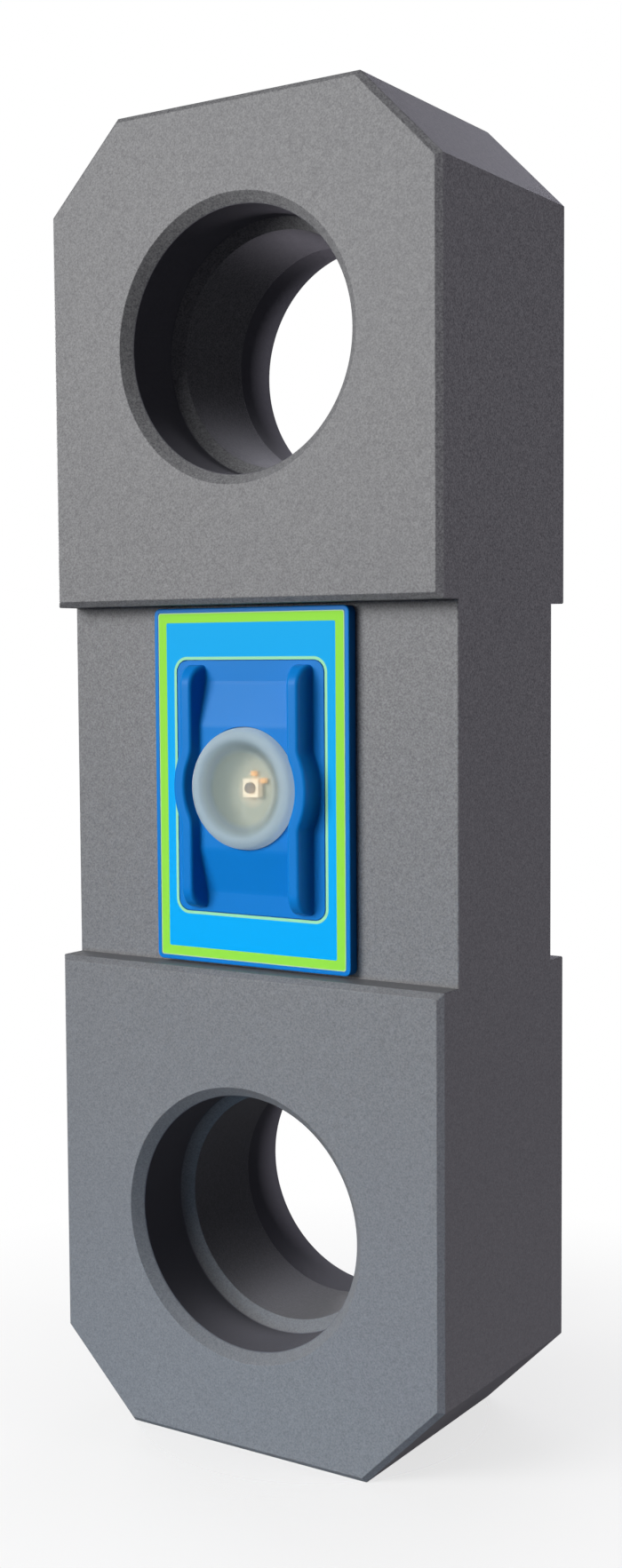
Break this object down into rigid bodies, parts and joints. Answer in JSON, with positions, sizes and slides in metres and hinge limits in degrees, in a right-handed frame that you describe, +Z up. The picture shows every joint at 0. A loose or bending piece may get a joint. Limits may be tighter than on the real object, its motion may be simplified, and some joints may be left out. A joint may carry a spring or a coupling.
{
  "type": "load link dynamometer",
  "caption": "Steel load link with a stepped shackle eye at each end and a recessed measuring section carrying a moulded sensor housing with a guarded translucent button.",
  "frame": {"origin": "centre of the lower end face, which the link stands on", "axes": "+Z up along the link through both eyes, -Y the front with the sensor housing, X across the width"},
  "size_m": [0.2, 0.115, 0.584],
  "materials": {
    "coated_steel": "fine textured grey coat, matt",
    "housing_plastic": "blue moulded plastic, satin",
    "film_print": "printed polyester film, satin, light blue with green border",
    "button_silicone": "frosted translucent silicone",
    "seal_rubber": "black seal rubber",
    "screw_steel": "plain stainless",
    "switch_plastic": "white switch moulding",
    "plunger_plastic": "grey plunger moulding",
    "led_amber": "amber light package",
    "board_laminate": "pale solder resist over laminate",
    "chip_plastic": "black chip moulding",
    "shield_metal": "tinned shield can",
    "connector_plastic": "natural connector moulding",
    "gauge_foil": "polyimide film with foil grid",
    "lead_red": "red insulation",
    "lead_black": "black insulation",
    "holder_plastic": "black moulded holder",
    "contact_metal": "nickel-plated leaf",
    "cell_wrap": "plain dark cell sleeve"
  },
  "bodies": {
    "link": {"link_body": "coated_steel", "sensor_housing": "housing_plastic", "housing_gasket": "seal_rubber", "housing_screws": "screw_steel", "face_overlay": "film_print", "switch_body": "switch_plastic", "status_leds": "led_amber", "circuit_board": "board_laminate", "radio_module": "shield_metal", "processor_chip": "chip_plastic", "amplifier_chip": "chip_plastic", "power_connector": "connector_plastic", "gauge_connector": "connector_plastic", "strain_gauges": "gauge_foil", "gauge_flex": "gauge_foil", "lead_positive": "lead_red", "lead_negative": "lead_black", "battery_holder": "holder_plastic", "battery_contacts": "contact_metal", "battery_cell_1": "cell_wrap", "battery_cell_2": "cell_wrap", "cover_gasket": "seal_rubber", "battery_cover": "housing_plastic", "cover_screws": "screw_steel"},
    "button": {"button_cap": "button_silicone", "switch_plunger": "plunger_plastic"}
  },
  "joints": [
    {"name": "button_press", "type": "slide", "parent": "link", "child": "button", "axis": [0, 1, 0], "range_m": [0, 0.001], "stiffness_N_per_m": 6000}
  ]
}
